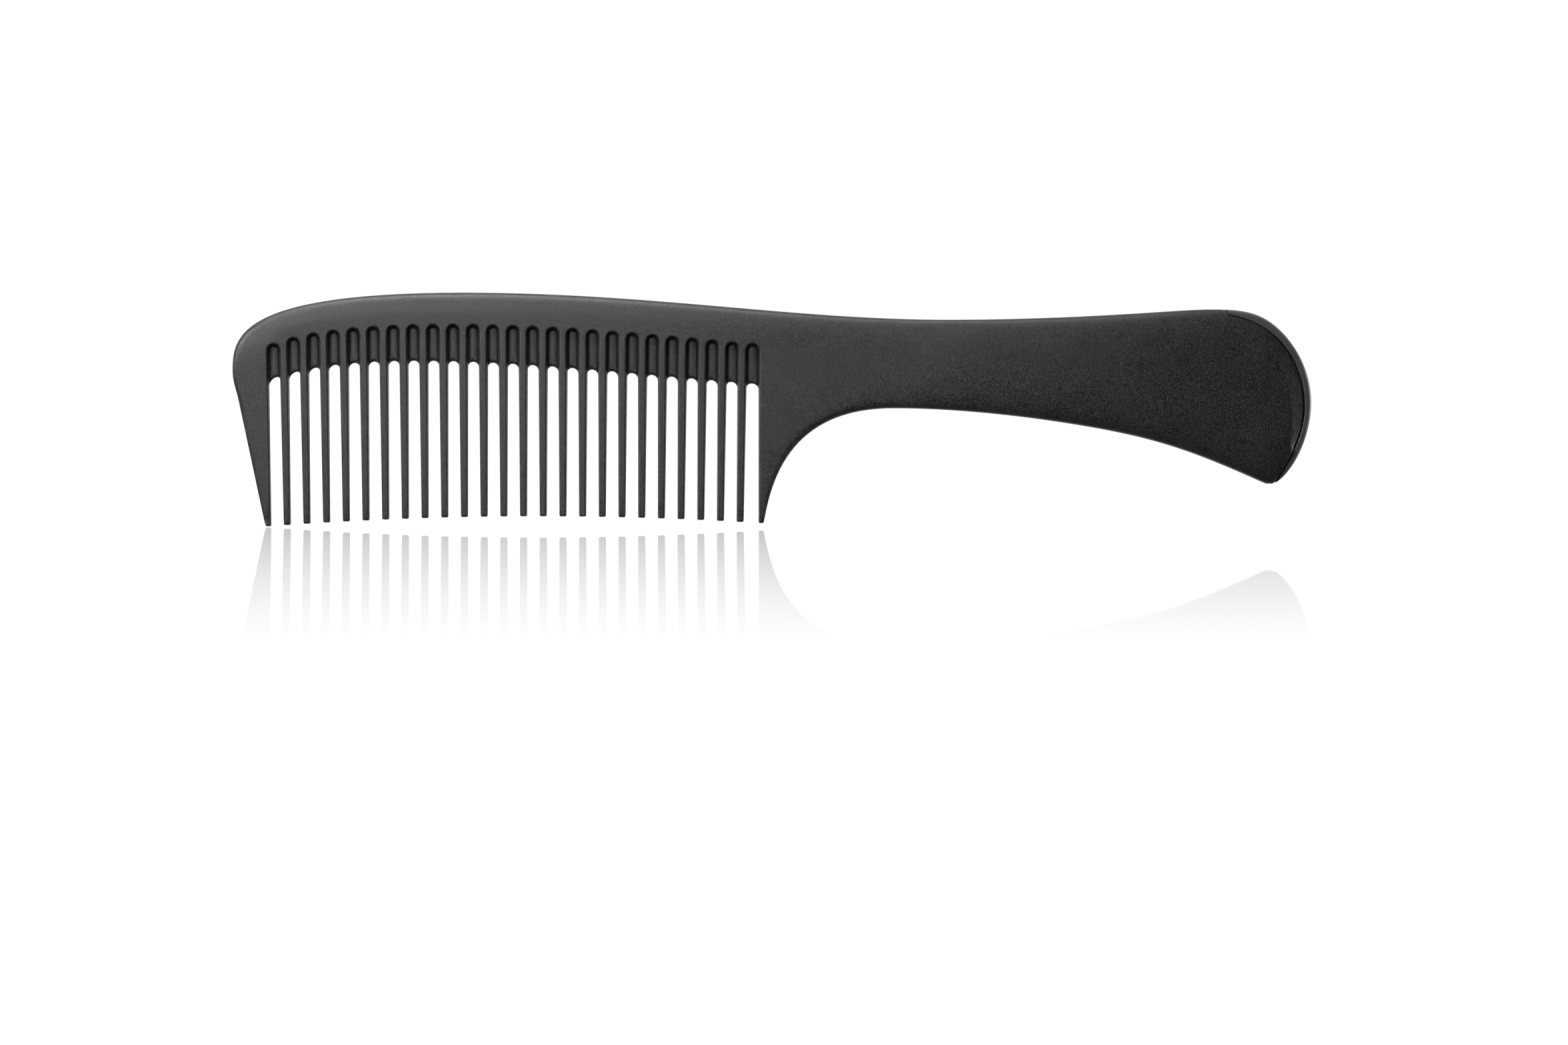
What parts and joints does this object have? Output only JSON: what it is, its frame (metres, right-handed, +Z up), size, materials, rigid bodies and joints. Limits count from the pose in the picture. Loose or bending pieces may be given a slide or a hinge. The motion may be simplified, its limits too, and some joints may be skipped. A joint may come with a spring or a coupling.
{
  "type": "wide tooth comb",
  "caption": "Wide tooth comb with a curved spine, long slender teeth between two guard teeth and a flared grip handle closed by an end cap.",
  "frame": {"origin": "middle of the length and thickness, level with the tip of the front guard tooth, the lowest point with the teeth pointing down", "axes": "+X along the comb from the nose of the head to the heel of the handle, +Y through the thickness from the front face to the back face, +Z up from the tooth tips to the spine"},
  "size_m": [0.2199, 0.0084, 0.0477],
  "materials": {
    "grained_plastic": "fine spark-eroded grain, black",
    "smooth_plastic": "smooth satin, black"
  },
  "bodies": {
    "root": {"spine": "grained_plastic", "front_guard_tooth": "grained_plastic", "tooth_01": "grained_plastic", "tooth_02": "grained_plastic", "tooth_03": "grained_plastic", "tooth_04": "grained_plastic", "tooth_05": "grained_plastic", "tooth_06": "grained_plastic", "tooth_07": "grained_plastic", "tooth_08": "grained_plastic", "tooth_09": "grained_plastic", "tooth_10": "grained_plastic", "tooth_11": "grained_plastic", "tooth_12": "grained_plastic", "tooth_13": "grained_plastic", "tooth_14": "grained_plastic", "tooth_15": "grained_plastic", "tooth_16": "grained_plastic", "tooth_17": "grained_plastic", "tooth_18": "grained_plastic", "tooth_19": "grained_plastic", "tooth_20": "grained_plastic", "tooth_21": "grained_plastic", "tooth_22": "grained_plastic", "tooth_23": "grained_plastic", "tooth_24": "grained_plastic", "rear_guard_tooth": "grained_plastic", "handle": "grained_plastic", "end_cap": "smooth_plastic"}
  },
  "joints": []
}
